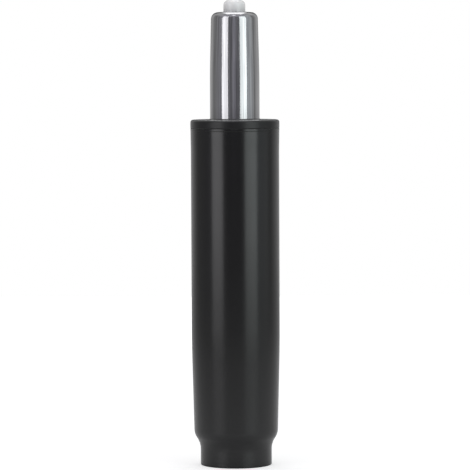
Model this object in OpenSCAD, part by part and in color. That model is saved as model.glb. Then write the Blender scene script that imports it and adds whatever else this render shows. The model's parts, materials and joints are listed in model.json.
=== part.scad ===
// Chair gas lift: a locking gas spring that slides and turns in a column tube.
// The origin is on the axis at the foot of the column, with +Z up. Sizes are in millimetres.
// The spring is drawn at its lowest setting, with the release button out.

/* [Column tube] */
// Outer diameter of the column tube
column_d = 50; // [47:0.5:54]
// Wall of the column tube
column_wall = 2; // [1.5:0.1:2.5]
// Length of the column tube
column_length = 191; // [180:0.5:230]
// Rounding of the column tube's outer end edges
column_edge = 0.8; // [0.4:0.1:1.2]
// Length of the cone that wedges into the chair's base
base_cone_length = 50; // [40:0.5:60]
// Half-angle of the base cone and of the seat cone, in degrees
cone_angle = 1.43; // [1.2:0.01:1.6]
// Outer diameter of the straight skirt at the foot
skirt_d = 40.2; // [38:0.1:42]
// Height of the straight skirt
skirt_height = 8.6; // [8:0.1:13]
// Outside bend radius of the neck's upper curve
neck_upper_bend = 9; // [8.5:0.1:11]
// Outside bend radius of the neck's lower curve
neck_lower_bend = 12; // [9:0.1:14]

/* [Foot] */
// Thickness of the bottom plate
plate_height = 6; // [5:0.1:8]
// How far the bottom plate sits down into the neck's upper curve
plate_drop = 3.5; // [2.5:0.1:4]
// Edge chamfer of the bottom plate's top
plate_chamfer = 0.6; // [0.3:0.1:1]
// Diameter of the washer under the bottom plate
washer_d = 18; // [16:0.5:22]
// Thickness of the washer under the bottom plate
washer_height = 1.4; // [1:0.1:2]
// Outer diameter of the retaining clip
clip_d = 15; // [14:0.5:17]
// Thickness of the retaining clip
clip_height = 1.2; // [1:0.1:1.5]
// Radial width of the retaining clip's bow
clip_bow = 2.2; // [1.8:0.1:2.6]
// Width of each of the retaining clip's three prongs
clip_prong = 2.6; // [2:0.1:3]
// Angle of the retaining clip's mouth, in degrees
clip_mouth = 80; // [70:5:100]
// Length of rod that shows below the retaining clip
rod_tail = 2.6; // [1.5:0.1:3]
// Chamfer of the rod's foot
rod_tip = 0.6; // [0.4:0.1:0.8]

/* [Swivel bearing] */
// Diameter of each ball
ball_d = 5; // [4:0.1:5.5]
// Number of balls
ball_count = 9; // [7:1:9]
// Diameter of the circle through the balls' centres
ball_circle_d = 19; // [18.5:0.5:22]
// Thickness of each race
race_height = 2.5; // [2:0.1:3.5]
// Width of flat outside the balls on each race and on the cage
race_rim = 1.6; // [1:0.1:2.5]
// Depth of the groove in each race
groove_depth = 0.6; // [0.4:0.1:0.9]
// Thickness of the ball cage
cage_height = 2.2; // [1.8:0.1:2.4]

/* [End buffer] */
// Outer diameter of the rubber end buffer
buffer_d = 26; // [24:0.5:30]
// Height of the rubber end buffer
buffer_height = 9; // [7:0.5:14]
// Depth of the end buffer's waist
buffer_waist = 1.6; // [1:0.1:2]
// Rounding of the end buffer's edges
buffer_edge = 1; // [0.6:0.1:1.5]

/* [Guide bush] */
// Height of the collar that shows above the column tube
collar_height = 4.9; // [3:0.1:6]
// How far the collar stands proud of the column tube's side
collar_lip = 0.2; // [0.1:0.05:0.2]
// Rounding of the collar's top edge
collar_edge = 1.5; // [0.8:0.1:1.8]
// Rounding of the collar's lower edge
collar_lower_edge = 0.35; // [0.2:0.05:0.5]
// Length of the bush inside the column tube
bush_length = 90; // [75:1:100]
// Wall of the bush around its bore
bush_wall = 2.5; // [2:0.1:3]
// Height of each ring that holds the bush in the column tube
bush_land = 10; // [6:0.5:14]
// Length of each bearing stretch at the ends of the bore
bore_land = 25; // [15:1:30]
// Radial relief of the bore between its bearing stretches
bore_relief = 0.4; // [0.2:0.1:0.8]
// Chamfer at each mouth of the bore
bore_chamfer = 0.7; // [0.4:0.1:1]
// Number of ribs between the two rings
rib_count = 8; // [6:1:12]
// Thickness of each rib
rib_width = 2; // [1.5:0.1:3]

/* [Pressure tube] */
// Outer diameter of the pressure tube
spring_d = 28; // [27:0.5:30]
// Wall of the pressure tube
spring_wall = 1.5; // [1.2:0.1:1.8]
// Height of the pressure tube above the collar at the lowest setting
spring_reach = 60.9; // [55:0.1:80]
// Length of the cone that wedges into the seat plate
seat_cone_length = 35; // [32:0.5:40]
// Rounding of the pressure tube's top edge
shoulder_radius = 3.4; // [2.4:0.1:4]
// Rounding of the pressure tube's rolled foot
crimp_radius = 2; // [1.9:0.1:2.5]
// Diameter of the opening in the pressure tube's rolled foot
crimp_mouth_d = 16; // [13:0.5:18]
// Travel from the lowest to the highest setting
stroke = 85; // [70:1:95]

/* [Inner tube and lower seals] */
// Gap between the pressure tube and the inner tube
annulus = 1.5; // [1.2:0.1:1.8]
// Wall of the inner tube
inner_wall = 1; // [0.8:0.1:1.2]
// Thickness of the end washer in the rolled foot
end_washer_height = 2; // [1.5:0.1:3]
// Height of the rod seal
rod_seal_height = 6; // [5:0.5:8]
// Height of the rod guide's body
rod_guide_height = 13; // [11:0.5:16]
// Height of the rod guide's spigot in the inner tube
guide_spigot = 4; // [3:0.5:6]
// Width of the rod guide's gas notches
notch_width = 3; // [2:0.1:4]
// Depth of the rod guide's gas notches
notch_depth = 1.5; // [1:0.1:2]
// Number of gas notches
notch_count = 4; // [3:1:6]

/* [Rod and piston] */
// Diameter of the piston rod
rod_d = 10; // [9.5:0.1:11]
// Diameter of the rod's lower stub
stub_d = 8; // [7.5:0.1:8.5]
// Depth of the groove that takes the retaining clip
clip_groove = 1.1; // [0.8:0.1:1.3]
// Diameter of the rod's upper stub, through the piston
piston_stub_d = 6; // [5:0.1:7]
// Height of the piston
piston_height = 11; // [9:0.5:14]
// Diameter of the piston washer
piston_washer_d = 13; // [11:0.5:15]
// Thickness of the piston washer
piston_washer_height = 1.5; // [1:0.1:2]
// Diameter of the rod's riveted head
rivet_d = 9; // [8:0.5:10]
// Height of the rod's riveted head
rivet_height = 1.8; // [1.4:0.1:2.4]
// Thickness of the piston seal's ring
piston_seal_d = 2.4; // [2:0.1:2.8]

/* [Valve and button] */
// Diameter of the release button
button_d = 12.4; // [11:0.1:13]
// Height of the release button above the pressure tube
button_height = 6.6; // [5:0.1:9]
// Rounding of the release button's top edge
button_edge = 2.4; // [1.2:0.1:2.6]
// Depth of the release button below the pressure tube's top
button_skirt = 2.5; // [2:0.1:3]
// Wall of the release button's skirt
button_wall = 1.3; // [1:0.1:1.6]
// Thickness of the release button's crown
button_crown = 2.2; // [1.8:0.1:3]
// Travel of the release button
press = 3; // [2:0.1:3.5]
// Diameter of the valve pin
pin_d = 4; // [3.6:0.1:4.4]
// Diameter of the valve pin's neck
pin_neck_d = 2.6; // [2.2:0.1:2.8]
// Diameter of the valve pin's closing head
poppet_d = 8; // [7:0.1:9]
// Thickness of the valve pin's closing head
poppet_height = 2; // [1.5:0.1:2.5]
// Height of the valve head
valve_head_height = 12; // [11:0.5:15]
// Thickness of the valve seat's flange
flange_height = 2.4; // [2:0.1:2.6]
// Diameter of the valve seat's gas ports
port_d = 1.8; // [1.4:0.1:2]
// Number of gas ports
port_count = 2; // [1:1:4]
// Radial room round the valve pin in the gas chamber
chamber_gap = 1.2; // [0.8:0.1:1.6]
// Thickness of the valve seat above its gas chamber
seat_roof = 2; // [1.8:0.1:2.4]
// Thickness of the valve seat between its gas chamber and the inner tube
seat_floor = 1.5; // [1:0.1:2.5]
// Depth of the valve seat's recess for the closing head
recess_depth = 6; // [5.5:0.1:8]
// Diameter of the valve seat's recess for the closing head
recess_d = 11; // [10:0.1:12]
// Thickness of the poppet seal
poppet_seal_height = 2; // [1.5:0.1:2.5]
// Thickness of the round seal rings in the valve and the rod guide
seal_ring_d = 1.8; // [1.5:0.1:2]

/* [Clearances] */
// Radial clearance of parts that slide or turn in each other
running_gap = 0.06; // [0.02:0.01:0.1]
// Clearance between a seal and what slides through it
seal_gap = 0.03; // [0.02:0.01:0.05]
// Clearance between fixed round parts
static_gap = 0.05; // [0.02:0.01:0.1]
// Clearance between a ball and its races
ball_gap = 0.03; // [0.02:0.01:0.05]
// Clearance around each ball in the cage
cage_gap = 0.12; // [0.08:0.01:0.2]
// Axial play between turning and fixed flat faces
axial_play = 0.1; // [0.05:0.01:0.2]
// Clearance at the two ends of the stroke
stop_gap = 0.3; // [0.2:0.05:0.5]
// Clearance around the release button and around loose washers
free_gap = 0.25; // [0.2:0.01:0.3]
// Clearance behind a seal ring in its groove
ring_back_gap = 0.1; // [0.05:0.01:0.15]
// Clearance above and below a seal ring in its groove
ring_side_gap = 0.2; // [0.1:0.01:0.3]

/* [Hidden] */
$fn = 96;
arc_steps = 8; // straight steps along each round stretch of an outline
overlap = 0.5; // how far joined shapes of one piece run into each other

// Radii
column_r = column_d / 2;
column_bore_r = column_r - column_wall;
skirt_r = skirt_d / 2;
spring_r = spring_d / 2;
spring_bore_r = spring_r - spring_wall;
inner_tube_r = spring_bore_r - annulus;
cylinder_r = inner_tube_r - inner_wall; // bore of the inner tube
rod_r = rod_d / 2;
stub_r = stub_d / 2;
ball_r = ball_d / 2;
ball_circle_r = ball_circle_d / 2;
race_r = ball_circle_r + ball_r + race_rim;
button_r = button_d / 2;
pin_r = pin_d / 2;

// The neck: a convex curve under the base cone runs into a concave curve above the skirt
base_cone_r = column_r - base_cone_length * tan(cone_angle);
neck_bends = neck_upper_bend + neck_lower_bend; // distance between the curves' centres
neck_lower = [skirt_r + neck_lower_bend, skirt_height];
neck_upper_r = base_cone_r - neck_upper_bend * cos(cone_angle);
neck_turn = acos((neck_lower[0] - neck_upper_r) / neck_bends);
neck_upper = [neck_upper_r, skirt_height + neck_bends * sin(neck_turn)];
shoulder_z = neck_upper[1] - neck_upper_bend * sin(cone_angle); // foot of the base cone
base_cone_top = shoulder_z + base_cone_length;

// Heights of the foot and the swivel bearing, from the bottom plate outwards
plate_foot = shoulder_z - plate_drop;
plate_top = plate_foot + plate_height;
washer_foot = plate_foot - washer_height;
clip_top = washer_foot - axial_play;
clip_foot = clip_top - clip_height;
rod_foot = clip_foot - rod_tail;
lower_race_top = plate_top + race_height;
ball_z = lower_race_top - groove_depth + ball_gap + ball_r;
upper_race_foot = ball_z + ball_r + ball_gap - groove_depth;
upper_race_top = upper_race_foot + race_height;
buffer_top = upper_race_top + buffer_height;

// Heights of the guide bush and the pressure tube
collar_top = column_length + collar_height;
bush_foot = column_length - bush_length;
spring_foot = buffer_top + stop_gap;
spring_top = collar_top + spring_reach;
seat_cone_foot = spring_top - seat_cone_length;

// Heights of the lower seals, from the rolled foot upwards
end_washer_foot = spring_foot + spring_wall;
rod_seal_foot = end_washer_foot + end_washer_height;
rod_guide_foot = rod_seal_foot + rod_seal_height;
inner_tube_foot = rod_guide_foot + rod_guide_height;
rod_guide_top = inner_tube_foot + guide_spigot;

// Heights of the piston: it meets the rod guide at the highest setting
piston_foot = rod_guide_top + stop_gap + stroke;
piston_top = piston_foot + piston_height;
piston_washer_top = piston_top + piston_washer_height;

// Heights of the valve, from the pressure tube's top downwards
valve_top = spring_top - spring_wall;
seat_top = valve_top - valve_head_height;
chamber_top = seat_top - seat_roof;
chamber_foot = chamber_top - press - stop_gap;
port_z = (chamber_top + chamber_foot) / 2;
flange_foot = seat_top - flange_height;
inner_tube_top = port_z - port_d / 2 - seat_floor;
recess_top = chamber_foot - seat_floor;
seat_foot = recess_top - recess_depth;
poppet_top = recess_top - poppet_seal_height - seal_gap;
button_top = spring_top + button_height;
button_foot = spring_top - button_skirt;
button_well = button_foot - press - free_gap; // floor of the well under the button
pin_top = button_top - button_crown;

// Round seal rings and their grooves
ring_groove = seal_ring_d + 2 * ring_side_gap; // width of a round seal ring's groove
piston_groove = piston_seal_d + 2 * ring_side_gap;
ring_r = seal_ring_d / 2;
pin_seal_pocket = seal_ring_d + ring_back_gap;
pin_seal_r = pin_r + seal_gap + ring_r;
pin_pocket_r = pin_seal_r + ring_r + ring_back_gap;
guide_seal_z = (rod_guide_foot + inner_tube_foot) / 2;
guide_seal_r = spring_bore_r - static_gap - ring_r;
spigot_seal_z = (seat_foot + inner_tube_top) / 2;
spigot_seal_r = cylinder_r - static_gap - ring_r;
head_seal_z = (seat_top + button_well) / 2;
head_seal_r = spring_bore(head_seal_z) - (static_gap + ring_r) / cos(cone_angle);
piston_seal_r = cylinder_r - seal_gap - piston_seal_d / 2;
piston_seal_z = (piston_foot + piston_top) / 2;

// Points along an arc, from one angle to another
function arc(centre, radius, from, to) = [
    for (i = [0 : arc_steps])
        let (a = from + (to - from) * i / arc_steps)
            centre + radius * [cos(a), sin(a)]
];

function reversed(points) = [for (i = [len(points) - 1 : -1 : 0]) points[i]];

// Outline of a groove cut into a round side, from its upper lip to its lower lip
function groove(side_r, floor_r, z, width) = [
    [side_r, z + width / 2], [floor_r, z + width / 2],
    [floor_r, z - width / 2], [side_r, z - width / 2]
];

// The column's side from the base cone down to the skirt, at a depth below its outer surface
function column_bend(inset) = concat(
    [[column_r - inset, base_cone_top + inset * tan(cone_angle / 2)]],
    arc(neck_upper, neck_upper_bend - inset, -cone_angle, -neck_turn),
    arc(neck_lower, neck_lower_bend + inset, 180 - neck_turn, 180)
);

// Radius of the pressure tube's outside and bore at a height
function spring_side(z) = spring_r - max(0, z - seat_cone_foot) * tan(cone_angle);
function spring_bore(z) = spring_side(z) - spring_wall / cos(cone_angle);

// Centre of the rounding at the pressure tube's top edge
shoulder_centre_z = spring_top - shoulder_radius;
shoulder_centre = [
    spring_side(shoulder_centre_z) - shoulder_radius / cos(cone_angle), shoulder_centre_z
];

module turned(outline) {
    rotate_extrude() polygon(outline);
}

// Plain ring between two radii
module ring(inner_r, outer_r, foot, height) {
    turned([
        [inner_r, foot], [outer_r, foot], [outer_r, foot + height], [inner_r, foot + height]
    ]);
}

// Round seal ring of a given middle radius and thickness
module seal_ring(middle_r, thickness, z) {
    translate([0, 0, z]) rotate_extrude() translate([middle_r, 0]) circle(d = thickness);
}

module around(count) {
    for (i = [0 : count - 1]) rotate(360 / count * i) children();
}

// Column: the tube and what is fixed in it

module column_tube() color([0.08, 0.08, 0.085]) {
    turned(concat(
        arc([column_r - column_edge, column_length - column_edge], column_edge, 90, 0),
        column_bend(0),
        arc([skirt_r - column_edge, column_edge], column_edge, 0, -90),
        [[skirt_r - column_wall, 0]],
        reversed(column_bend(column_wall)),
        [[column_bore_r, column_length]]
    ));
}

// Steel disc that sits in the neck's upper curve and carries the swivel bearing
module bottom_plate() color([0.62, 0.62, 0.6]) {
    inset = column_wall + static_gap;
    seat_radius = neck_upper_bend - inset;
    seat_turn = asin((neck_upper[1] - plate_foot) / seat_radius);
    rim_r = neck_upper[0] + seat_radius * cos(cone_angle);
    bore_r = stub_r + running_gap;
    turned(concat(
        [[bore_r, plate_foot]],
        arc(neck_upper, seat_radius, -seat_turn, -cone_angle),
        [
            [rim_r, plate_top - plate_chamfer],
            [rim_r - plate_chamfer, plate_top],
            [bore_r, plate_top]
        ]
    ));
}

// Plastic bush: a bored sleeve with a collar, two holding rings and ribs between them
module guide_bush() color([0.1, 0.1, 0.11]) {
    collar_r = column_r + collar_lip;
    land_r = column_bore_r - static_gap;
    bore_r = spring_r + running_gap;
    relief_r = bore_r + bore_relief;
    sleeve_r = relief_r + bush_wall;
    upper_ring_foot = column_length - bush_land;
    lower_ring_top = bush_foot + bush_land;
    turned(concat(
        [[bore_r + bore_chamfer, collar_top]],
        arc([collar_r - collar_edge, collar_top - collar_edge], collar_edge, 90, 0),
        arc(
            [collar_r - collar_lower_edge, column_length + collar_lower_edge],
            collar_lower_edge, 0, -90
        ),
        [
            [land_r, column_length], [land_r, upper_ring_foot],
            [sleeve_r, upper_ring_foot], [sleeve_r, lower_ring_top],
            [land_r, lower_ring_top], [land_r, bush_foot],
            [bore_r + bore_chamfer, bush_foot], [bore_r, bush_foot + bore_chamfer],
            [bore_r, bush_foot + bore_land],
            [relief_r, bush_foot + bore_land + bore_relief],
            [relief_r, collar_top - bore_land - bore_relief],
            [bore_r, collar_top - bore_land],
            [bore_r, collar_top - bore_chamfer]
        ]
    ));
    around(rib_count)
        translate([sleeve_r - overlap, -rib_width / 2, lower_ring_top - overlap])
            cube([
                land_r - sleeve_r,
                rib_width,
                upper_ring_foot - lower_ring_top + 2 * overlap
            ]);
}

// Race of the swivel bearing, with its groove in the top face
module race(bore_r, foot) {
    groove_r = ball_r + cage_gap;
    top = foot + race_height;
    rotate_extrude() difference() {
        translate([bore_r, foot]) square([race_r - bore_r, race_height]);
        translate([ball_circle_r, top - groove_depth + groove_r]) circle(r = groove_r);
    }
}

module lower_race() color([0.7, 0.7, 0.72]) {
    race(stub_r + 2 * free_gap, plate_top);
}

module foot_washer() color([0.66, 0.66, 0.64]) {
    ring(stub_r + free_gap, washer_d / 2, washer_foot, washer_height);
}

// Rod: it turns on the swivel bearing and carries the piston

module piston_rod() color([0.5, 0.5, 0.52]) {
    piston_stub_r = piston_stub_d / 2;
    rivet_r = rivet_d / 2;
    groove_r = stub_r - clip_groove;
    turned([
        [0, rod_foot], [stub_r - rod_tip, rod_foot], [stub_r, rod_foot + rod_tip],
        [stub_r, clip_foot], [groove_r, clip_foot],
        [groove_r, clip_top], [stub_r, clip_top],
        [stub_r, upper_race_top], [rod_r, upper_race_top],
        [rod_r, piston_foot], [piston_stub_r, piston_foot],
        [piston_stub_r, piston_washer_top], [rivet_r, piston_washer_top],
        [rivet_r, piston_washer_top + rivet_height / 2],
        [piston_stub_r, piston_washer_top + rivet_height],
        [0, piston_washer_top + rivet_height]
    ]);
}

// Spring clip with a bow and three prongs that reach into the rod's groove
module retaining_clip() color([0.2, 0.2, 0.22]) {
    clip_r = clip_d / 2;
    seat_r = stub_r - clip_groove + static_gap;
    prong_angles = [0, 180 - clip_mouth / 2, clip_mouth / 2 - 180];
    mouth = [
        [0, 0], clip_d * [-cos(clip_mouth / 2), sin(clip_mouth / 2)],
        [-clip_d, 0], clip_d * [-cos(clip_mouth / 2), -sin(clip_mouth / 2)]
    ];
    translate([0, 0, clip_foot]) linear_extrude(clip_height) difference() {
        union() {
            difference() {
                circle(r = clip_r);
                circle(r = clip_r - clip_bow);
                polygon(mouth);
            }
            for (a = prong_angles)
                rotate(a)
                    translate([0, a == 0 ? -clip_prong / 2 : a > 0 ? -clip_prong : 0])
                        square([clip_r - clip_bow / 2, clip_prong]);
        }
        circle(r = seat_r);
        translate([-clip_d, -seat_r]) square([clip_d, 2 * seat_r]);
    }
}

module upper_race() color([0.7, 0.7, 0.72]) {
    translate([0, 0, upper_race_foot + upper_race_top]) mirror([0, 0, 1])
        race(stub_r + static_gap, upper_race_foot);
}

// Rubber ring that stops the pressure tube at the lowest setting
module end_buffer() color([0.13, 0.13, 0.13]) {
    buffer_r = buffer_d / 2;
    bore_r = rod_r + static_gap;
    turned(concat(
        [[bore_r, upper_race_top]],
        arc([buffer_r - buffer_edge, upper_race_top + buffer_edge], buffer_edge, -90, 0),
        [[buffer_r - buffer_waist, (upper_race_top + buffer_top) / 2]],
        arc([buffer_r - buffer_edge, buffer_top - buffer_edge], buffer_edge, 0, 90),
        [[bore_r, buffer_top]]
    ));
}

module piston() color([0.75, 0.76, 0.78]) {
    piston_r = cylinder_r - 2 * running_gap;
    bore_r = piston_stub_d / 2 + static_gap;
    floor_r = piston_seal_r - piston_seal_d / 2 - ring_back_gap;
    turned(concat(
        [[bore_r, piston_top], [piston_r, piston_top]],
        groove(piston_r, floor_r, piston_seal_z, piston_groove),
        [[piston_r, piston_foot], [bore_r, piston_foot]]
    ));
}

module piston_seal() color([0.1, 0.1, 0.1]) {
    seal_ring(piston_seal_r, piston_seal_d, piston_seal_z);
}

module piston_washer() color([0.66, 0.66, 0.64]) {
    ring(piston_stub_d / 2 + static_gap, piston_washer_d / 2, piston_top, piston_washer_height);
}

// Ball cage: it rolls round at half the rod's speed

module at_each_ball() {
    around(ball_count) translate([ball_circle_r, 0, ball_z]) children();
}

module ball_cage() color([0.72, 0.6, 0.3]) {
    difference() {
        ring(stub_r + 2 * free_gap, race_r, ball_z - cage_height / 2, cage_height);
        at_each_ball() cylinder(r = ball_r + cage_gap, h = 2 * cage_height, center = true);
    }
}

module bearing_balls() color([0.8, 0.8, 0.82]) {
    at_each_ball() sphere(r = ball_r);
}

// Gas spring: the pressure tube and what is fixed in it

module pressure_tube() color([0.72, 0.73, 0.75]) {
    mouth_r = button_r + free_gap;
    crimp_r = crimp_mouth_d / 2;
    inner_crimp = crimp_radius - spring_wall;
    crimp_centre = [spring_r - crimp_radius, spring_foot + crimp_radius];
    turned(concat(
        [[crimp_r, spring_foot]],
        arc(crimp_centre, crimp_radius, -90, 0),
        [[spring_r, seat_cone_foot]],
        arc(shoulder_centre, shoulder_radius, cone_angle, 90),
        [[mouth_r, spring_top], [mouth_r, valve_top]],
        arc(shoulder_centre, shoulder_radius - spring_wall, 90, cone_angle),
        [[spring_bore_r, seat_cone_foot]],
        arc(crimp_centre, inner_crimp, 0, -90),
        [[crimp_r, end_washer_foot]]
    ));
}

module inner_tube() color([0.6, 0.6, 0.62]) {
    ring(cylinder_r, inner_tube_r, inner_tube_foot, inner_tube_top - inner_tube_foot);
}

// Steel washer that the rolled foot holds, under the rod seal
module end_washer() color([0.66, 0.66, 0.64]) {
    outer_r = spring_bore_r - static_gap;
    chamfer = crimp_radius - spring_wall;
    bore_r = rod_r + free_gap;
    turned([
        [bore_r, end_washer_foot], [outer_r - chamfer, end_washer_foot],
        [outer_r, end_washer_foot + chamfer], [outer_r, rod_seal_foot], [bore_r, rod_seal_foot]
    ]);
}

// Rubber ring with a lip that the gas presses against the rod
module rod_seal() color([0.1, 0.1, 0.1]) {
    outer_r = spring_bore_r - static_gap;
    lip_r = rod_r + seal_gap;
    relief_r = rod_r + 2 * free_gap;
    middle_r = (lip_r + outer_r) / 2;
    valley = (outer_r - lip_r) / 5; // half-width of the gas groove
    turned([
        [relief_r, rod_seal_foot], [outer_r, rod_seal_foot],
        [outer_r, rod_guide_foot], [middle_r + valley, rod_guide_foot],
        [middle_r, rod_seal_foot + rod_seal_height / 2],
        [middle_r - valley, rod_guide_foot], [lip_r, rod_guide_foot],
        [lip_r, rod_guide_foot - rod_seal_height / 3],
        [relief_r, rod_seal_foot + rod_seal_height / 3]
    ]);
}

// Bush that guides the rod and centres the inner tube
module rod_guide() color([0.75, 0.76, 0.78]) {
    body_r = spring_bore_r - static_gap;
    spigot_r = cylinder_r - static_gap;
    bore_r = rod_r + running_gap;
    floor_r = guide_seal_r - ring_r - ring_back_gap;
    difference() {
        turned(concat(
            [
                [bore_r, rod_guide_top], [spigot_r, rod_guide_top],
                [spigot_r, inner_tube_foot], [body_r, inner_tube_foot]
            ],
            groove(body_r, floor_r, guide_seal_z, ring_groove),
            [[body_r, rod_guide_foot], [bore_r, rod_guide_foot]]
        ));
        around(notch_count)
            translate([spigot_r - notch_depth, -notch_width / 2, inner_tube_foot - notch_depth])
                cube([spring_r, notch_width, guide_spigot + 2 * notch_depth]);
    }
}

module rod_guide_seal() color([0.1, 0.1, 0.1]) {
    seal_ring(guide_seal_r, seal_ring_d, guide_seal_z);
}

// Plug under the pressure tube's top, with a well for the button and a bore for the pin
module valve_head() color([0.78, 0.66, 0.36]) {
    well_r = button_r + free_gap;
    bore_r = pin_r + running_gap;
    side_z = shoulder_centre_z;
    side_r = spring_bore(side_z) - static_gap;
    foot_r = spring_bore(seat_top) - static_gap;
    groove_top_r = spring_bore(head_seal_z + ring_groove / 2) - static_gap;
    groove_foot_r = spring_bore(head_seal_z - ring_groove / 2) - static_gap;
    floor_r = head_seal_r - ring_r - ring_back_gap;
    turned([
        [well_r, valve_top], [shoulder_centre[0], valve_top], [side_r, side_z],
        [groove_top_r, head_seal_z + ring_groove / 2],
        [floor_r, head_seal_z + ring_groove / 2],
        [floor_r, head_seal_z - ring_groove / 2],
        [groove_foot_r, head_seal_z - ring_groove / 2],
        [foot_r, seat_top], [pin_pocket_r, seat_top],
        [pin_pocket_r, seat_top + pin_seal_pocket], [bore_r, seat_top + pin_seal_pocket],
        [bore_r, button_well], [well_r, button_well]
    ]);
}

module valve_head_seal() color([0.1, 0.1, 0.1]) {
    seal_ring(head_seal_r, seal_ring_d, head_seal_z);
}

// Valve seat: a gas chamber round the pin's neck, with ports to the gap round the inner tube
module valve_seat() color([0.78, 0.66, 0.36]) {
    flange_r = spring_bore(seat_top) - static_gap;
    spigot_r = cylinder_r - static_gap;
    pin_bore_r = pin_r + running_gap;
    chamber_r = pin_r + chamber_gap;
    metering_r = (pin_r + pin_neck_d / 2) / 2;
    recess_r = recess_d / 2;
    floor_r = spigot_seal_r - ring_r - ring_back_gap;
    difference() {
        turned(concat(
            [
                [pin_bore_r, seat_top], [flange_r, seat_top], [flange_r, flange_foot],
                [inner_tube_r, flange_foot], [inner_tube_r, inner_tube_top],
                [spigot_r, inner_tube_top]
            ],
            groove(spigot_r, floor_r, spigot_seal_z, ring_groove),
            [
                [spigot_r, seat_foot], [recess_r, seat_foot],
                [recess_r, recess_top], [metering_r, recess_top],
                [metering_r, chamber_foot], [chamber_r, chamber_foot],
                [chamber_r, chamber_top], [pin_bore_r, chamber_top]
            ]
        ));
        around(port_count)
            translate([0, 0, port_z]) rotate([0, 90, 0]) cylinder(d = port_d, h = spring_r);
    }
}

module valve_seat_seal() color([0.1, 0.1, 0.1]) {
    seal_ring(spigot_seal_r, seal_ring_d, spigot_seal_z);
}

module pin_seal() color([0.1, 0.1, 0.1]) {
    seal_ring(pin_seal_r, seal_ring_d, seat_top + pin_seal_pocket / 2);
}

module poppet_seal() color([0.1, 0.1, 0.1]) {
    ring(
        pin_r + ring_back_gap, recess_d / 2 - static_gap,
        recess_top - poppet_seal_height, poppet_seal_height
    );
}

// Release: the button and the valve pin move down together

module release_button() color([0.82, 0.83, 0.83]) {
    hollow_r = button_r - button_wall;
    socket_r = pin_r + static_gap;
    boss_r = min(socket_r + button_wall, hollow_r - overlap);
    turned(concat(
        [[0, button_top]],
        arc([button_r - button_edge, button_top - button_edge], button_edge, 90, 0),
        [
            [button_r, button_foot], [hollow_r, button_foot], [hollow_r, pin_top],
            [boss_r, pin_top], [boss_r, button_foot], [socket_r, button_foot],
            [socket_r, pin_top], [0, pin_top]
        ]
    ));
}

module valve_pin() color([0.7, 0.7, 0.72]) {
    neck_r = pin_neck_d / 2;
    poppet_r = poppet_d / 2;
    turned([
        [0, pin_top], [pin_r, pin_top], [pin_r, chamber_top],
        [neck_r, chamber_top], [neck_r, poppet_top], [poppet_r, poppet_top],
        [poppet_r, poppet_top - poppet_height], [0, poppet_top - poppet_height]
    ]);
}

column_tube();
bottom_plate();
guide_bush();
lower_race();
foot_washer();
piston_rod();
retaining_clip();
upper_race();
end_buffer();
piston();
piston_seal();
piston_washer();
ball_cage();
bearing_balls();
pressure_tube();
inner_tube();
end_washer();
rod_seal();
rod_guide();
rod_guide_seal();
valve_head();
valve_head_seal();
valve_seat();
valve_seat_seal();
pin_seal();
poppet_seal();
release_button();
valve_pin();
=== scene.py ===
import json
import math
import bpy
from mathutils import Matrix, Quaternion, Vector

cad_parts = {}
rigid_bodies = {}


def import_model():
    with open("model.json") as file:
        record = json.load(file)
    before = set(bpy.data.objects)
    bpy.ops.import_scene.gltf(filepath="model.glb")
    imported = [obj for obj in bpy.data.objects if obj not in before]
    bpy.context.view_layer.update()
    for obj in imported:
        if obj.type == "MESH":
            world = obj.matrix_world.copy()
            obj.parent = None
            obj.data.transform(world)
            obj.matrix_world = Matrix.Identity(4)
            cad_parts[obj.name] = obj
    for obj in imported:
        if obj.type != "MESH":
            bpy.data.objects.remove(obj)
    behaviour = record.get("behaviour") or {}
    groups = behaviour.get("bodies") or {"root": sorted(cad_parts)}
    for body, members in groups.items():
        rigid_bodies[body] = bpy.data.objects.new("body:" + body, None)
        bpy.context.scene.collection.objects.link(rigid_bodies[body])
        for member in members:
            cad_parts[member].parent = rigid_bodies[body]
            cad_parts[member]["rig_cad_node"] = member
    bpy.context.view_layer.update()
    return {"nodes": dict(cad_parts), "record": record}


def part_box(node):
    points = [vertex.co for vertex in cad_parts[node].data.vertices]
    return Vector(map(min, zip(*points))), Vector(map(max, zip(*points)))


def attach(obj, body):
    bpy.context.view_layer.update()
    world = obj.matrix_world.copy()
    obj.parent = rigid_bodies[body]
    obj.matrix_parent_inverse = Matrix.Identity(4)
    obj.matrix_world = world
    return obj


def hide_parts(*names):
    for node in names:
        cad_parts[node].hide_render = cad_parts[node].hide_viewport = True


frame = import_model()
mm = 0.001
record = frame["record"]
bodyOf = {node: body for body, nodes in record["behaviour"]["bodies"].items() for node in nodes}
slotOf = {row["node"]: row["material_slot"] for row in record["subparts"]}
print("frame loaded with", len(frame["nodes"]), "nodes")


class Value:  # a socket that can be added, scaled and so on
    def __init__(self, nodes, socket):
        self.nodes = nodes
        self.socket = socket

    def maths(self, operation, first, second):
        return self.nodes.add("ShaderNodeMath", {"operation": operation}, {0: first, 1: second})

    def __add__(self, other):
        return self.maths("ADD", self, other)

    def __sub__(self, other):
        return self.maths("SUBTRACT", self, other)

    def __rsub__(self, other):
        return self.maths("SUBTRACT", other, self)

    def __mul__(self, other):
        return self.maths("MULTIPLY", self, other)

    __radd__ = __add__
    __rmul__ = __mul__


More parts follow.
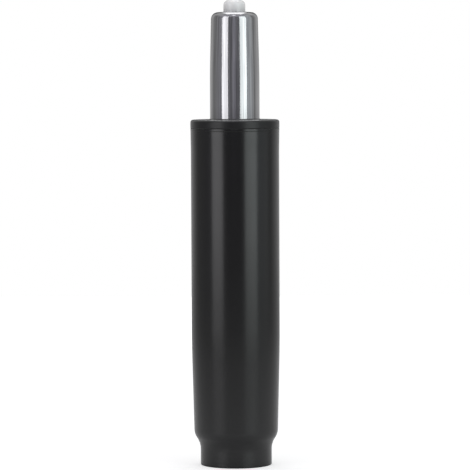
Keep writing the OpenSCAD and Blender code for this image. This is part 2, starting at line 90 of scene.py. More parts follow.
class Nodes:  # the node tree of a finish or of the room
    def __init__(self, tree, coordinates="Object"):
        self.tree = tree
        self.place = self.add("ShaderNodeTexCoord", output=coordinates)

    def add(self, kind, settings=None, sockets=None, output=0):
        node = self.tree.nodes.new(kind)
        for name, value in (settings or {}).items():
            setattr(node, name, value)
        self.feed(node, sockets or {})
        return Value(self, node.outputs[output])

    def feed(self, node, sockets):
        for name, value in sockets.items():
            if isinstance(value, Value):
                self.tree.links.new(value.socket, node.inputs[name])
            else:
                node.inputs[name].default_value = value

    def noise(self, size, detail=2.0, place=None, stretch=None):  # size of a feature in mm
        place = place or self.place
        if stretch:
            place = self.add("ShaderNodeMapping", None, {"Vector": place, "Scale": stretch})
        sockets = {"Vector": place, "Scale": 1 / (size * mm), "Detail": detail}
        return self.add("ShaderNodeTexNoise", None, sockets)

    def along(self, axis):
        return self.add("ShaderNodeSeparateXYZ", None, {0: self.place}, axis)

    def lathe(self):  # radius and height, so that a pattern runs in rings about the axis
        flat = self.add("ShaderNodeVectorMath", {"operation": "MULTIPLY"}, {0: self.place, 1: (1, 1, 0)})
        radius = self.add("ShaderNodeVectorMath", {"operation": "LENGTH"}, {0: flat}, "Value")
        return self.add("ShaderNodeCombineXYZ", None, {"X": radius, "Z": self.along("Z")})

    def fade(self, value, low, high):  # 0 up to low, 1 from high on
        sockets = {"Value": value, "From Min": low, "From Max": high}
        return self.add("ShaderNodeMapRange", {"interpolation_type": "SMOOTHSTEP"}, sockets)

    def blend(self, share, first, second):  # inputs 6 and 7 and output 2 are a Mix node's colours
        first, second = [end if isinstance(end, Value) else (*end, 1) for end in (first, second)]
        return self.add("ShaderNodeMix", {"data_type": "RGBA"}, {0: share, 6: first, 7: second}, 2)

    def bump(self, height, depth):  # depth in mm
        return self.add("ShaderNodeBump", None, {"Height": height, "Distance": depth * mm})


black = (0, 0, 0)


def startFinish(name, constants):
    material = bpy.data.materials.new(name)
    material.use_nodes = True
    nodes = Nodes(material.node_tree)
    shader = nodes.tree.nodes["Principled BSDF"]
    nodes.feed(shader, constants)
    return material, nodes, shader


powderCoat = {  # sizes in mm, as in the other finishes
    "dark": (0.0005, 0.0005, 0.0005),
    "light": (0.0014, 0.0014, 0.0014),
    "roughness": 0.215,
    "unevenness": 0.08,
    "cloudSize": 22,
    "peelSize": 1.3,
    "peelDepth": 0.012,
    "grainSize": 0.2,
    "grainDepth": 0.002,
}


def powderCoatFinish(look):
    constants = {
        "IOR": 1.66,
        "Sheen Weight": 0.4,
        "Sheen Roughness": 0.3,
    }
    material, nodes, shader = startFinish("powderCoat", constants)
    cloud = nodes.noise(look["cloudSize"], detail=3)
    peel = nodes.noise(look["peelSize"], detail=2)
    grain = nodes.noise(look["grainSize"], detail=2)
    height = peel * look["peelDepth"] + grain * look["grainDepth"]
    nodes.feed(shader, {
        "Base Color": nodes.blend(cloud * 0.5 + grain * 0.5, look["dark"], look["light"]),
        "Roughness": (cloud + grain - 1) * look["unevenness"] + look["roughness"],
        "Normal": nodes.bump(height, depth=1),
    })
    return material


bushPlastic = {
    "dark": (0.007, 0.007, 0.0075),
    "light": (0.013, 0.013, 0.0135),
    "roughness": 0.33,
    "unevenness": 0.12,
    "grainSize": 0.35,
    "grainDepth": 0.006,
    "flowSize": 9,
    "topGloss": 0.9,
    "glossStart": 0.4,  # below the top
    "glossFull": 0.2,
}


def bushPlasticFinish(look):
    constants = {
        "IOR": 1.52,
        "Sheen Weight": 0.4,
        "Sheen Roughness": 0.3,
        "Coat Roughness": 0.12,
        "Coat IOR": 1.7,
    }
    material, nodes, shader = startFinish("bushPlastic", constants)
    grain = nodes.noise(look["grainSize"], detail=4)
    flow = nodes.noise(look["flowSize"], detail=2)
    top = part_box("guide_bush")[1].z
    smooth = nodes.fade(  # only the collar's top is smooth
        nodes.along("Z"), top - look["glossStart"] * mm, top - look["glossFull"] * mm
    )
    nodes.feed(shader, {
        "Base Color": nodes.blend(grain * 0.5 + flow * 0.5, look["dark"], look["light"]),
        "Roughness": (flow + grain - 1) * look["unevenness"] + look["roughness"],
        "Coat Weight": smooth * look["topGloss"],
        "Normal": nodes.bump(grain, look["grainDepth"]),
    })
    return material


drawnChrome = {
    "dull": (0.46, 0.46, 0.47),
    "bright": (0.64, 0.64, 0.65),
    "dullStreak": 0.35,
    "brightStreak": 0.65,
    "roughness": 0.115,
    "unevenness": 0.14,
    "streakSize": 0.8,
    "lineSize": 0.16,
    "streakDepth": 0.004,
    "lineDepth": 0.0006,
    "smudgeSize": 16,
    "alongTube": (1, 1, 0.012),
    "crownFoot": 253.0,
    "crownTop": 255.5,
    "collarDarkening": 0.14,
    "collarDarkTop": 206,
    "collarDarkFoot": 196,
}


def drawnChromeFinish(look):
    material, nodes, shader = startFinish("drawnChrome", {"Metallic": 1.0})
    height = nodes.along("Z")
    drawn = nodes.fade(height, look["crownTop"] * mm, look["crownFoot"] * mm)  # no lines on the shoulder
    streak = (nodes.noise(look["streakSize"], detail=4, stretch=look["alongTube"]) - 0.5) * drawn + 0.5
    line = (nodes.noise(look["lineSize"], detail=2, stretch=look["alongTube"]) - 0.5) * drawn + 0.5
    smudge = nodes.noise(look["smudgeSize"], detail=3)
    collarDarkening = nodes.fade(height, look["collarDarkTop"] * mm, look["collarDarkFoot"] * mm) * look["collarDarkening"]
    shine = nodes.fade(streak, look["dullStreak"], look["brightStreak"])
    chrome = nodes.blend(shine, look["dull"], look["bright"])
    nodes.feed(shader, {
        "Base Color": nodes.blend(collarDarkening, chrome, black),  # the chrome's colour is made darker towards the collar
        "Roughness": (streak + line + smudge - 1.5) * look["unevenness"] + look["roughness"],
        "Normal": nodes.bump(streak * look["streakDepth"] + line * look["lineDepth"], depth=1),
    })
    return material


buttonPlastic = {
    "paintedShadeColour": (0.82, 0.82, 0.81),
    "paintedLitColour": (0.985, 0.98, 0.97),
    "paintedShadeFoot": 256.5,
    "paintedLitTop": 261.5,
    "roughness": 0.16,
    "unevenness": 0.12,
    "flowSize": 4,
    "flowShare": 0.2,
    "grainSize": 0.3,
    "grainDepth": 0.003,
    "glowDepth": 1.5,
    "paintedGlow": 0.11,
}


def buttonPlasticFinish(look):
    constants = {
        "Subsurface Weight": 0.25,
        "Subsurface Radius": (1.0, 0.95, 0.9),
        "Subsurface Scale": look["glowDepth"] * mm,
        "IOR": 1.6,
        "Coat Weight": 0.35,
        "Coat Roughness": 0.05,
        "Emission Strength": look["paintedGlow"],
    }
    material, nodes, shader = startFinish("buttonPlastic", constants)
    flow = nodes.noise(look["flowSize"], detail=3)
    grain = nodes.noise(look["grainSize"], detail=2)
    # painted light: the button's colour is made lighter towards its top and darker towards its foot
    paintedLightByHeight = nodes.fade(nodes.along("Z"), look["paintedShadeFoot"] * mm, look["paintedLitTop"] * mm)
    paintedLightAndFlow = paintedLightByHeight * (1 - look["flowShare"]) + flow * look["flowShare"]
    nodes.feed(shader, {
        "Base Color": nodes.blend(paintedLightAndFlow, look["paintedShadeColour"], look["paintedLitColour"]),
        "Emission Color": nodes.blend(paintedLightByHeight, black, look["paintedLitColour"]),  # painted glow: emission standing in for light that comes through from behind
        "Roughness": (flow + grain - 1) * look["unevenness"] + look["roughness"],
        "Normal": nodes.bump(grain, look["grainDepth"]),
    })
    return material


ringShare = 0.4  # how much of a metal's colour follows its tool lines
metals = {  # ringSize is the width of the tool lines about the axis
    "platedSteel": {
        "dull": (0.44, 0.44, 0.42), "bright": (0.60, 0.61, 0.61), "roughness": 0.34,
        "unevenness": 0.22, "ringSize": 0.4, "ringDepth": 0.003, "cloudSize": 3.5,
    },
    "rodSteel": {
        "dull": (0.40, 0.40, 0.41), "bright": (0.55, 0.55, 0.56), "roughness": 0.22,
        "unevenness": 0.14, "ringSize": 0.18, "ringDepth": 0.0012, "cloudSize": 6,
    },
    "bearingSteel": {
        "dull": (0.52, 0.52, 0.54), "bright": (0.64, 0.64, 0.66), "roughness": 0.14,
        "unevenness": 0.10, "ringSize": 0.25, "ringDepth": 0.0010, "cloudSize": 5,
    },
    "springSteel": {
        "dull": (0.035, 0.036, 0.040), "bright": (0.10, 0.10, 0.105), "roughness": 0.42,
        "unevenness": 0.25, "ringSize": 0.9, "ringDepth": 0.003, "cloudSize": 1.8,
    },
    "turnedAluminium": {
        "dull": (0.60, 0.61, 0.63), "bright": (0.76, 0.77, 0.78), "roughness": 0.28,
        "unevenness": 0.16, "ringSize": 0.3, "ringDepth": 0.004, "cloudSize": 5,
    },
    "turnedBrass": {
        "dull": (0.55, 0.38, 0.15), "bright": (0.76, 0.57, 0.27), "roughness": 0.24,
        "unevenness": 0.16, "ringSize": 0.3, "ringDepth": 0.004, "cloudSize": 4,
    },
}


def metalFinish(name):
    look = metals[name]
    material, nodes, shader = startFinish(name, {"Metallic": 1.0})
    ring = nodes.noise(look["ringSize"], detail=3, place=nodes.lathe())
    cloud = nodes.noise(look["cloudSize"], detail=4)
    nodes.feed(shader, {
        "Base Color": nodes.blend(
            ring * ringShare + cloud * (1 - ringShare), look["dull"], look["bright"]
        ),
        "Roughness": (ring + cloud - 1) * look["unevenness"] + look["roughness"],
        "Normal": nodes.bump(ring, look["ringDepth"]),
    })
    return material


grainShare = 0.4  # how much of a moulding's colour follows its grain
mouldings = {
    "bufferRubber": {
        "dark": (0.016, 0.016, 0.016), "light": (0.034, 0.034, 0.033), "roughness": 0.78,
        "unevenness": 0.20, "grainSize": 0.5, "grainDepth": 0.02, "cloudSize": 5, "ior": 1.45,
    },
    "sealRubber": {
        "dark": (0.012, 0.012, 0.012), "light": (0.024, 0.024, 0.024), "roughness": 0.36,
        "unevenness": 0.24, "grainSize": 0.3, "grainDepth": 0.004, "cloudSize": 3, "ior": 1.5,
    },
    "cagePlastic": {
        "dark": (0.54, 0.49, 0.36), "light": (0.66, 0.62, 0.50), "roughness": 0.48,
        "unevenness": 0.16, "grainSize": 0.4, "grainDepth": 0.006, "cloudSize": 4, "ior": 1.5,
    },
}


def mouldedFinish(name):
    look = mouldings[name]
    material, nodes, shader = startFinish(name, {"IOR": look["ior"]})
    grain = nodes.noise(look["grainSize"], detail=4)
    cloud = nodes.noise(look["cloudSize"], detail=3)
    nodes.feed(shader, {
        "Base Color": nodes.blend(
            grain * grainShare + cloud * (1 - grainShare), look["dark"], look["light"]
        ),
        "Roughness": (grain + cloud - 1) * look["unevenness"] + look["roughness"],
        "Normal": nodes.bump(grain, look["grainDepth"]),
    })
    return material


finishOf = {  # by the record's material slots
    "column_paint": powderCoatFinish(powderCoat),
    "bush_plastic": bushPlasticFinish(bushPlastic),
    "tube_chrome": drawnChromeFinish(drawnChrome),
    "plated_steel": metalFinish("platedSteel"),
    "rod_steel": metalFinish("rodSteel"),
    "bearing_steel": metalFinish("bearingSteel"),
    "spring_steel": metalFinish("springSteel"),
    "buffer_rubber": mouldedFinish("bufferRubber"),
    "seal_rubber": mouldedFinish("sealRubber"),
    "cage_plastic": mouldedFinish("cagePlastic"),
    "aluminium": metalFinish("turnedAluminium"),
    "valve_brass": metalFinish("turnedBrass"),
    "button_plastic": buttonPlasticFinish(buttonPlastic),
}
print("finishes made:", len(finishOf))


def arc(centre, radius, start, end, steps=8):  # points along a round stretch, angles in degrees
    points = []
    for i in range(steps + 1):
        angle = math.radians(start + (end - start) * i / steps)
        points.append((centre[0] + radius * math.cos(angle), centre[1] + radius * math.sin(angle)))
    return points


def held(outline, hold=0.12, shortRun=0.8):  # adds points near the ends of long runs, for straight shading
    points = []
    for here, there in zip(outline, outline[1:]):
        points.append(here)
        length = math.dist(here, there)
        if length > shortRun:
            for share in (hold / length, 1 - hold / length):
                points.append(tuple(a + (b - a) * share for a, b in zip(here, there)))
    return points + [outline[-1]]


sharpAngle = math.radians(32)  # a sharper edge isn't shaded smooth


def turned(name, outline, steps=240, weld=0.001):  # outline of radius and height in mm
    points = [Vector((radius * mm, 0, height * mm)) for radius, height in held(outline)]
    bpy.ops.object.select_all(action="DESELECT")
    bpy.ops.mesh.primitive_plane_add(size=mm, location=points[0])
    piece = bpy.context.object
    piece.name = name
    bpy.ops.object.transform_apply(location=True, rotation=False, scale=False)
    bpy.ops.object.mode_set(mode="EDIT")
    bpy.ops.mesh.merge(type="CENTER")  # the plane becomes the outline's first point
    for here, there in zip(points, points[1:]):
        bpy.ops.mesh.extrude_vertices_move(TRANSFORM_OT_translate={"value": there - here})
    bpy.ops.mesh.select_all(action="SELECT")
    bpy.ops.mesh.spin(steps=steps, angle=math.tau, center=(0, 0, 0), axis=(0, 0, 1))
    bpy.ops.mesh.select_all(action="SELECT")
    bpy.ops.mesh.remove_doubles(threshold=weld * mm)
    bpy.ops.mesh.normals_make_consistent(inside=False)
    bpy.ops.object.mode_set(mode="OBJECT")
    bpy.ops.object.shade_smooth_by_angle(angle=sharpAngle)
    return piece


def dress(piece, node):
    piece.data.materials.clear()
    piece.data.materials.append(finishOf[slotOf[node]])
    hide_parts(node)
    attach(piece, bodyOf[node])
    print(piece.name, "stands for", node, "with", len(piece.data.polygons), "faces")


def reach(node):  # outer radius, foot and top of a node, in mm
    low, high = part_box(node)
    return high.x / mm, low.z / mm, high.z / mm


columnTube = {  # sizes in mm and degrees, as in the other pieces
    "wall": 2.0,
    "coneLength": 48.5,
    "coneAngle": 1.43,
    "coneEasing": 10.0,
    "upperBend": 9.0,
    "lowerBend": 12.0,
    "skirtRadius": 20.2,
    "skirtHeight": 8.7,
    "rimRise": 0.15,
    "rimEdge": 0.15,
    "footEdge": 0.4,
    "innerEdge": 0.3,
    "beadRise": 0.06,
    "beadHeight": 0.8,
    "beadFade": 0.9,
    "bellSwell": 0.13,
    "bellHeight": 2.0,
    "bellFade": 12.0,
}


def neckCurves(size):  # centres of the neck's upper and lower curves, and the angle where they meet
    tilt = math.radians(size["coneAngle"])
    bends = size["upperBend"] + size["lowerBend"]
    coneFoot = reach("column_tube")[0] - size["coneLength"] * math.tan(tilt)
    upperX = coneFoot - size["upperBend"] * math.cos(tilt)
    lower = (size["skirtRadius"] + size["lowerBend"], size["skirtHeight"])
    turn = math.acos((lower[0] - upperX) / bends)
    return (upperX, lower[1] + bends * math.sin(turn)), lower, math.degrees(turn)


def makeColumnTube(size):
    radius, foot, top = reach("column_tube")
    top += size["rimRise"]
    upper, lower, turn = neckCurves(size)
    tilt = math.radians(size["coneAngle"])
    coneTop = upper[1] - size["upperBend"] * math.sin(tilt) + size["coneLength"]
    easing = size["coneEasing"] / math.tan(tilt / 2)  # radius of the bend where the cone starts
    start = (radius - easing, coneTop + size["coneEasing"])

    def side(inset):  # the cone, the neck and down to the skirt, at a depth below the outside
        return (
            arc(start, easing - inset, 0, -size["coneAngle"], steps=26)
            + arc(upper, size["upperBend"] - inset, -size["coneAngle"], -turn, steps=14)
            + arc(lower, size["lowerBend"] + inset, 180 - turn, 180, steps=14)
        )

    def stepIn(inner, rise, height, length, steps):  # a smooth step inwards, on the way down from the rim
        points = []
        for i in range(steps + 1):
            share = i / steps
            swell = rise * (1 + math.cos(math.pi * share)) / 2
            points.append((inner + swell, top - height - length * share))
        return points

    rim = size["rimEdge"]
    bell = radius + size["bellSwell"]
    bead = bell + size["beadRise"]
    skirt = size["skirtRadius"]
    footEdge = size["footEdge"]
    innerFoot = skirt - size["wall"]
    bore = radius - size["wall"]
    edge = size["innerEdge"]
    outline = (
        arc((bead - rim, top - rim), rim, 90, 0)
        + stepIn(bell, size["beadRise"], size["beadHeight"], size["beadFade"], steps=6)
        + stepIn(radius, size["bellSwell"], size["bellHeight"], size["bellFade"], steps=16)
        + side(0)
        + arc((skirt - footEdge, foot + footEdge), footEdge, 0, -90)
        + arc((innerFoot + edge, foot + edge), edge, 270, 180, steps=4)
        + side(size["wall"])[::-1]
        + arc((bore + edge, top - edge), edge, 180, 90, steps=4)
    )
    return turned("columnTube", outline + outline[:1])


dress(makeColumnTube(columnTube), "column_tube")

guideBush = {
    "collarEdge": 1.5,
    "lowerEdge": 0.5,
    "lip": 0.6,
    "lipEdge": 0.08,
    "wall": 2.5,
    "clearance": 0.06,
    "landLength": 10.0,
    "boreLandLength": 25.0,
    "boreRelief": 0.4,
    "mouth": 0.7,
    "ribs": 8,
    "ribWidth": 2.0,
    "ribOverlap": 0.5,
}


def makeGuideBush(size):
    radius, foot, top = reach("guide_bush")
    columnRadius, _, columnTop = reach("column_tube")
    top += columnTube["rimRise"]  # the collar rests on the rim
    columnTop += columnTube["rimRise"]
    bore = reach("pressure_tube")[0] + size["clearance"]
    relief = bore + size["boreRelief"]
    sleeve = relief + size["wall"]
    land = columnRadius - columnTube["wall"] - size["clearance"]
    landFoot = foot + size["landLength"]
    landTop = columnTop - size["landLength"]
    boreFoot = foot + size["boreLandLength"]
    boreTop = top - size["boreLandLength"]
    edge = size["collarEdge"]
    lower = size["lowerEdge"]
    mouth = size["mouth"]
    lip = size["lip"]
    lipEdge = size["lipEdge"]
    outline = (
        arc((radius - edge, top - edge), edge, 90, 0, steps=12)
        + arc((radius - lower, columnTop + lower), lower, 0, -90, steps=5)
        + [
            (land, columnTop), (land, landTop), (sleeve, landTop), (sleeve, landFoot),
            (land, landFoot), (land, foot), (bore + mouth, foot), (bore, foot + mouth),
            (bore, boreFoot), (relief, boreFoot + size["boreRelief"]),
            (relief, boreTop - size["boreRelief"]), (bore, boreTop), (bore, top + lip - lipEdge),
        ]
        + arc((bore + lipEdge + lip, top + lip), lip, 180, 270, steps=6)  # the wiper lip round the tube
    )
    bush = turned("guideBush", outline + outline[:1])
    overlap = size["ribOverlap"]
    inner = sleeve - overlap
    outer = land - overlap  # the ribs stay clear of the tube
    ribFoot = landFoot - overlap
    ribTop = landTop + overlap
    middle = Vector(((inner + outer) / 2, 0, (ribFoot + ribTop) / 2))
    bpy.ops.object.select_all(action="DESELECT")
    bpy.ops.mesh.primitive_cube_add(size=mm, location=middle * mm)
    ribs = bpy.context.object
    ribs.scale = (outer - inner, size["ribWidth"], ribTop - ribFoot)
    bpy.ops.object.transform_apply(location=True, rotation=False, scale=True)
    bpy.ops.object.mode_set(mode="EDIT")
    turn = math.tau / size["ribs"]
    for i in range(size["ribs"] - 1):  # each copy is selected, so the next one goes on from it
        bpy.ops.mesh.duplicate()
        bpy.ops.transform.rotate(value=turn, orient_axis="Z", center_override=(0, 0, 0))
    bpy.ops.object.mode_set(mode="OBJECT")
    ribs.select_set(False)
    bush.select_set(True)
    bpy.context.view_layer.objects.active = bush
    bpy.ops.object.modifier_add(type="BOOLEAN")
    bush.modifiers[-1].operation = "UNION"
    bush.modifiers[-1].object = ribs
    bpy.ops.object.modifier_apply(modifier=bush.modifiers[-1].name)
    bpy.data.objects.remove(ribs)
    bpy.ops.object.shade_smooth_by_angle(angle=sharpAngle)
    return bush


dress(makeGuideBush(guideBush), "guide_bush")

pressureTube = {
    "wall": 1.5,
    "coneLength": 35.0,
    "coneAngle": 1.43,
    "coneEasing": 6.0,
    "shoulder": 3.9,
    "topSlope": 4.0,
    "mouthRadius": 6.45,
    "mouthEdge": 0.4,
    "crimp": 2.0,
    "crimpMouth": 8.0,
}


def makePressureTube(size):
    radius, foot, top = reach("pressure_tube")
    tilt = math.radians(size["coneAngle"])
    slope = math.radians(size["topSlope"])
    wall = size["wall"]
    bend = size["shoulder"]
    coneFoot = top - size["coneLength"]
    bendX = radius - (size["coneLength"] - bend) * math.tan(tilt) - bend / math.cos(tilt)
    fall = (bendX - size["mouthRadius"]) * math.tan(slope)  # the top slopes from the mouth outwards
    shoulder = (bendX, top - fall - bend * math.cos(slope))
    easing = size["coneEasing"] / math.tan(tilt / 2)
    start = (radius - easing, coneFoot - size["coneEasing"])
    crimp = (radius - size["crimp"], foot + size["crimp"])
    mouth = size["mouthRadius"]
    edge = size["mouthEdge"]
    outline = (
        [(size["crimpMouth"], foot)]
        + arc(crimp, size["crimp"], -90, 0)
        + arc(start, easing, 0, size["coneAngle"], steps=16)
        + arc(shoulder, bend, size["coneAngle"], 90 - size["topSlope"], steps=18)
        + arc((mouth + edge, top - edge), edge, 90, 180, steps=5)
        + [(mouth, top - wall)]
        + arc(shoulder, bend - wall, 90 - size["topSlope"], size["coneAngle"])
        + [(radius - wall, coneFoot)]
        + arc(crimp, size["crimp"] - wall, 0, -90, steps=4)
        + [(size["crimpMouth"], foot + wall)]
    )
    return turned("pressureTube", outline + outline[:1])


dress(makePressureTube(pressureTube), "pressure_tube")

releaseButton = {
    "edge": 2.9,
    "draft": 0.08,
    "wall": 1.3,
    "crown": 2.2,
    "pinRadius": 2.05,
    "bossWall": 1.3,
    "footEdge": 0.25,
    "gateRadius": 0.9,
    "gateFloor": 0.72,
    "gateDepth": 0.15,
}


def makeReleaseButton(size):
    radius, foot, top = reach("release_button")
    edge = size["edge"]
    topRadius = radius - size["draft"]
    hollow = radius - size["wall"]
    roof = top - size["crown"]
    pin = size["pinRadius"]
    boss = pin + size["bossWall"]
    footEdge = size["footEdge"]
    gateFloor = top - size["gateDepth"]
    outline = (
        [(0, gateFloor), (size["gateFloor"], gateFloor), (size["gateRadius"], top)]  # the mould's gate mark
        + arc((topRadius - edge, top - edge), edge, 90, 0, steps=12)
        + arc((radius - footEdge, foot + footEdge), footEdge, 0, -90, steps=4)
        + [
            (hollow, foot), (hollow, roof), (boss, roof), (boss, foot),
            (pin, foot), (pin, roof), (0, roof),
        ]
    )
    return turned("releaseButton", outline)


dress(makeReleaseButton(releaseButton), "release_button")

bottomPlate = {
    "seatGap": 0.05,
    "bore": 4.06,
    "boreEdge": 0.35,
    "rimEdge": 0.6,
}


def makeBottomPlate(size):
    radius, foot, top = reach("bottom_plate")
    seat = columnTube["upperBend"] - columnTube["wall"] - size["seatGap"]  # radius of its seat in the neck
    coneAngle = columnTube["coneAngle"]
    centre = (radius - seat * math.cos(math.radians(coneAngle)), neckCurves(columnTube)[0][1])
    seatEnd = math.degrees(math.asin((centre[1] - foot) / seat))
    bore = size["bore"]
    edge = size["boreEdge"]
    rim = size["rimEdge"]
    outline = (
        [(bore, foot + edge), (bore + edge, foot)]
        + arc(centre, seat, -seatEnd, -coneAngle, steps=12)
        + arc((radius - rim, top - rim), rim, 0, 90, steps=5)
        + [(bore + edge, top), (bore, top - edge)]
    )
    return turned("bottomPlate", outline + outline[:1], steps=160)


dress(makeBottomPlate(bottomPlate), "bottom_plate")

footWasher = {
    "bore": 4.25,
    "punchedEdge": 0.4,
    "burrEdge": 0.12,
}


def makeFootWasher(size):
    radius, foot, top = reach("foot_washer")
    bore = size["bore"]
    punched = size["punchedEdge"]
    burr = size["burrEdge"]
    outline = (
        arc((bore + punched, foot + punched), punched, 180, 270, steps=5)
        + arc((radius - punched, foot + punched), punched, 270, 360, steps=5)
        + arc((radius - burr, top - burr), burr, 0, 90, steps=3)
        + arc((bore + burr, top - burr), burr, 90, 180, steps=3)
    )
    return turned("footWasher", outline + outline[:1], steps=128)


dress(makeFootWasher(footWasher), "foot_washer")

pistonRod = {
    "stub": 4.0,
    "tip": 0.6,
    "groove": 2.9,
    "grooveEdge": 0.1,
    "markRadius": 1.1,
    "markDepth": 1.6,
    "pistonStub": 3.0,
    "rivet": 4.5,
    "edge": 0.3,
}


def makePistonRod(size):
    radius, foot, top = reach("piston_rod")
    _, clipFoot, clipTop = reach("retaining_clip")
    shoulder = reach("upper_race")[2]
    pistonFoot = reach("piston")[1]
    head = reach("piston_washer")[2]
    stub = size["stub"]
    tip = size["tip"]
    groove = size["groove"]
    ease = size["grooveEdge"]
    edge = size["edge"]
    neck = size["pistonStub"]
    rivet = size["rivet"]
    outline = (
        [(0, foot + size["markDepth"]), (size["markRadius"], foot)]  # the lathe's centre mark
        + arc((stub - tip, foot + tip), tip, -90, 0, steps=5)
        + [
            (stub, clipFoot - ease), (stub - ease, clipFoot), (groove, clipFoot),
            (groove, clipTop), (stub - ease, clipTop), (stub, clipTop + ease),
            (stub, shoulder), (radius - edge, shoulder), (radius, shoulder + edge),
            (radius, pistonFoot - edge), (radius - edge, pistonFoot), (neck, pistonFoot),
            (neck, head), (rivet, head),
        ]
        + arc((rivet - edge, (head + top) / 2), edge, 0, 60, steps=4)
        + [(neck, top), (0, top)]
    )
    return turned("pistonRod", outline, steps=128)


dress(makePistonRod(pistonRod), "piston_rod")

retainingClip = {
    "edge": 0.13,
    "edgeSteps": 2,
    "weld": 0.002,
    "flat": 1.0,
    "sharp": 35.0,
}


def makeRetainingClip(size):
    bpy.ops.object.select_all(action="DESELECT")
    source = frame["nodes"]["retaining_clip"]
    source.select_set(True)
    bpy.context.view_layer.objects.active = source
    bpy.ops.object.duplicate()
    clip = bpy.context.object
    clip.name = "retainingClip"
    del clip["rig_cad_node"]  # the copy is a piece of its own
    bpy.ops.mesh.customdata_custom_splitnormals_clear()
    bpy.ops.object.mode_set(mode="EDIT")
    bpy.ops.mesh.select_all(action="SELECT")
    bpy.ops.mesh.remove_doubles(threshold=size["weld"] * mm)
    bpy.ops.mesh.dissolve_limited(angle_limit=math.radians(size["flat"]))
    bpy.ops.object.mode_set(mode="OBJECT")
    bpy.ops.object.modifier_add(type="BEVEL")  # the stamped edges are eased
    bevel = clip.modifiers[-1]
    bevel.width = size["edge"] * mm
    bevel.segments = size["edgeSteps"]
    bevel.limit_method = "ANGLE"
    bevel.angle_limit = math.radians(size["sharp"])
    bpy.ops.object.modifier_apply(modifier=bevel.name)
    bpy.ops.object.shade_smooth_by_angle(angle=sharpAngle)
    return clip


dress(makeRetainingClip(retainingClip), "retaining_clip")

for name, node in frame["nodes"].items():  # the nodes that still show keep their shape
    for slot in node.material_slots:
        slot.material = finishOf[slotOf[name]]
print("finishes given to the packed nodes")

floorPlan = {  # in metres, like the lights and the camera
    "size": 2.4,
    "middle": (0.88, 0.88, 0.87),
    "outer": (0.46, 0.46, 0.45),
    "middleLift": (0.54, 0.54, 0.54),
    "outerLift": (1.0, 1.0, 1.0),
    "paintedPoolCentre": (0.05, 0.15, 0),
    "paintedPoolStart": 0.12,
    "paintedPoolEnd": 0.8,
}


def makeFloor(plan):
    bpy.ops.object.select_all(action="DESELECT")
    bpy.ops.mesh.primitive_plane_add(size=plan["size"], location=(0, 0, 0))
    floor = bpy.context.object
    floor.name = "paleFloor"
    constants = {"Roughness": 0.5, "Specular IOR Level": 0.4, "Emission Strength": 1.0}
    material, nodes, shader = startFinish("palePaper", constants)
    points = {0: nodes.place, 1: plan["paintedPoolCentre"]}
    distance = nodes.add("ShaderNodeVectorMath", {"operation": "DISTANCE"}, points, "Value")
    # painted light: the floor's colour is paler in a pool round the object's foot and darker further out
    outsidePaintedPool = nodes.fade(distance, plan["paintedPoolStart"], plan["paintedPoolEnd"])
    seen = nodes.add("ShaderNodeLightPath", output="Is Camera Ray")
    lift = nodes.blend(outsidePaintedPool, plan["middleLift"], plan["outerLift"])
    nodes.feed(shader, {
        "Base Color": nodes.blend(outsidePaintedPool, plan["middle"], plan["outer"]),
        "Emission Color": nodes.blend(seen, black, lift),  # the lift is only seen, it lights nothing
    })
    floor.data.materials.append(material)


makeFloor(floorPlan)

roomLight = {  # each side fades in between two values of a direction's x, y or z
    "front": 0.16,
    "frontTint": (1.01, 1.0, 1.09),
    "left": 0.085,
    "leftX": (-0.3, -0.9),
    "leftY": (0.6, 0.1),
    "right": 0.33,
    "rightX": (0.5, 0.95),
    "rightY": (0.3, -0.05),
    "rightTint": (0.94, 1.0, 1.04),
    "rightTintX": (0.3, 0.8),
    "back": 0.3,
    "backSlant": 0.1,
    "backY": (0.2, 0.75),
    "backTint": (1.0, 1.0, 1.0),
    "backTintY": (-0.5, 0.5),
    "top": 0.26,
    "topZ": (0.45, 0.75),
    "flag": 0.42,
    "lowY": (0.9, 0.96),
    "lowZ": (-0.003, 0.02),
    "highShare": 0.8,
    "highXSquared": (0.16, 0.08),
    "highY": (0.3, 0.6),
    "highZ": (0.05, 0.15),
}


def makeRoom(glow):
    world = bpy.data.worlds.new("studioRoom")
    bpy.context.scene.world = world
    world.use_nodes = True
    nodes = Nodes(world.node_tree, "Generated")
    x = nodes.along("X")
    y = nodes.along("Y")
    z = nodes.along("Z")
    low = nodes.fade(z, *glow["lowZ"]) * nodes.fade(y, *glow["lowY"])  # dark flags behind, low and high
    high = nodes.fade(z, *glow["highZ"]) * nodes.fade(y, *glow["highY"])
    high = high * nodes.fade(x * x, *glow["highXSquared"]) * glow["highShare"]
    room = (
        nodes.fade(x, *glow["leftX"]) * nodes.fade(y, *glow["leftY"]) * glow["left"]
        + nodes.fade(x, *glow["rightX"]) * nodes.fade(y, *glow["rightY"]) * glow["right"]
        + nodes.fade(x * glow["backSlant"] + y, *glow["backY"]) * glow["back"]
        + nodes.fade(z, *glow["topZ"]) * glow["top"]
        - (low + high - low * high) * glow["flag"]
        + glow["front"]
    )
    seen = nodes.add("ShaderNodeLightPath", output="Is Camera Ray")  # the camera sees plain white
    tint = nodes.blend(nodes.fade(x, *glow["rightTintX"]), glow["frontTint"], glow["rightTint"])
    tint = nodes.blend(nodes.fade(y, *glow["backTintY"]), tint, glow["backTint"])
    dim = nodes.add("ShaderNodeBackground", None, {"Color": tint, "Strength": room})
    white = nodes.add("ShaderNodeBackground", None, {"Color": (1, 1, 1, 1), "Strength": 1.0})
    both = nodes.add("ShaderNodeMixShader", None, {0: seen, 1: dim, 2: white})
    nodes.feed(nodes.tree.nodes["World Output"], {"Surface": both})


makeRoom(roomLight)

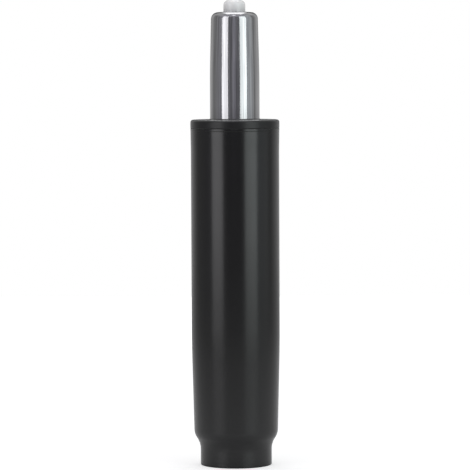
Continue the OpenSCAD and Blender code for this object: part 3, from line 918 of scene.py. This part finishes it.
softboxes = {  # azimuth turns from the camera to the right of the picture
    "leftSoftbox": {
        "azimuth": -46.8, "distance": 1.2, "width": 0.64, "height": 1.15, "foot": 0.02, "glow": 1.11,
        "tint": (1.0, 0.995, 1.015),
    },
    "rightSoftbox": {
        "azimuth": 41.7, "distance": 1.2, "width": 0.705, "height": 1.15, "foot": 0.02, "glow": 1.12,
        "tint": (0.935, 1.0, 0.99),
    },
    "frontCard": {
        "azimuth": -2.5, "distance": 1.2, "width": 0.30, "height": 1.03, "foot": 0.17, "glow": 0.095,
        "tint": (1.02, 1, 1.18),
    },
}
overheads = {  # they face straight down
    "overheadSoftbox": {
        "side": 0.0, "back": 0.7, "height": 1.5, "width": 0.9, "depth": 1.5, "glow": 1.12,
        "tint": (1, 1, 1.015),
    },
    "frontPanel": {
        "side": -0.06, "back": -0.85, "height": 1.75, "width": 0.36, "depth": 0.44, "glow": 0.85,
        "tint": (1, 0.98, 1.03),
    },
}


def addSoftbox(name, place, target, width, height, glow, tint):
    bpy.ops.object.select_all(action="DESELECT")
    bpy.ops.object.light_add(type="AREA", location=place)
    box = bpy.context.object
    box.name = name
    box.data.shape = "RECTANGLE"
    box.data.size = width
    box.data.size_y = height
    box.data.energy = 4 * glow * width * height  # the glow is the power over four times the area
    box.data.color = tint
    box.rotation_mode = "QUATERNION"
    box.rotation_quaternion = (Vector(target) - Vector(place)).to_track_quat("-Z", "Y")
    box.visible_camera = False


def makeLights():
    for name, box in softboxes.items():
        angle = math.radians(box["azimuth"])
        level = box["foot"] + box["height"] / 2
        place = (math.sin(angle) * box["distance"], -math.cos(angle) * box["distance"], level)
        addSoftbox(name, place, (0, 0, level), box["width"], box["height"], box["glow"], box["tint"])
    for name, box in overheads.items():
        place = (box["side"], box["back"], box["height"])
        below = (box["side"], box["back"], 0)
        addSoftbox(name, place, below, box["width"], box["depth"], box["glow"], box["tint"])


makeLights()

cameraView = {
    "distance": 1.7,
    "height": 0.231,
    "aim": 0.13062,
    "side": -0.0002,
    "fieldHeight": 0.26648,
    "roll": -0.255,
}


def makeCamera(shot):
    place = Vector((0, -shot["distance"], shot["height"]))
    aim = Vector((shot["side"], 0, shot["aim"]))
    bpy.ops.object.camera_add(location=place)
    camera = bpy.context.object
    camera.rotation_mode = "QUATERNION"
    roll = Quaternion((0, 0, 1), math.radians(shot["roll"]))
    camera.rotation_quaternion = (aim - place).to_track_quat("-Z", "Y") @ roll
    camera.data.lens = camera.data.sensor_width * (aim - place).length / shot["fieldHeight"]
    bpy.context.scene.camera = camera


makeCamera(cameraView)
bpy.context.scene.view_settings.view_transform = "Standard"
print("floor, lights and camera in place")
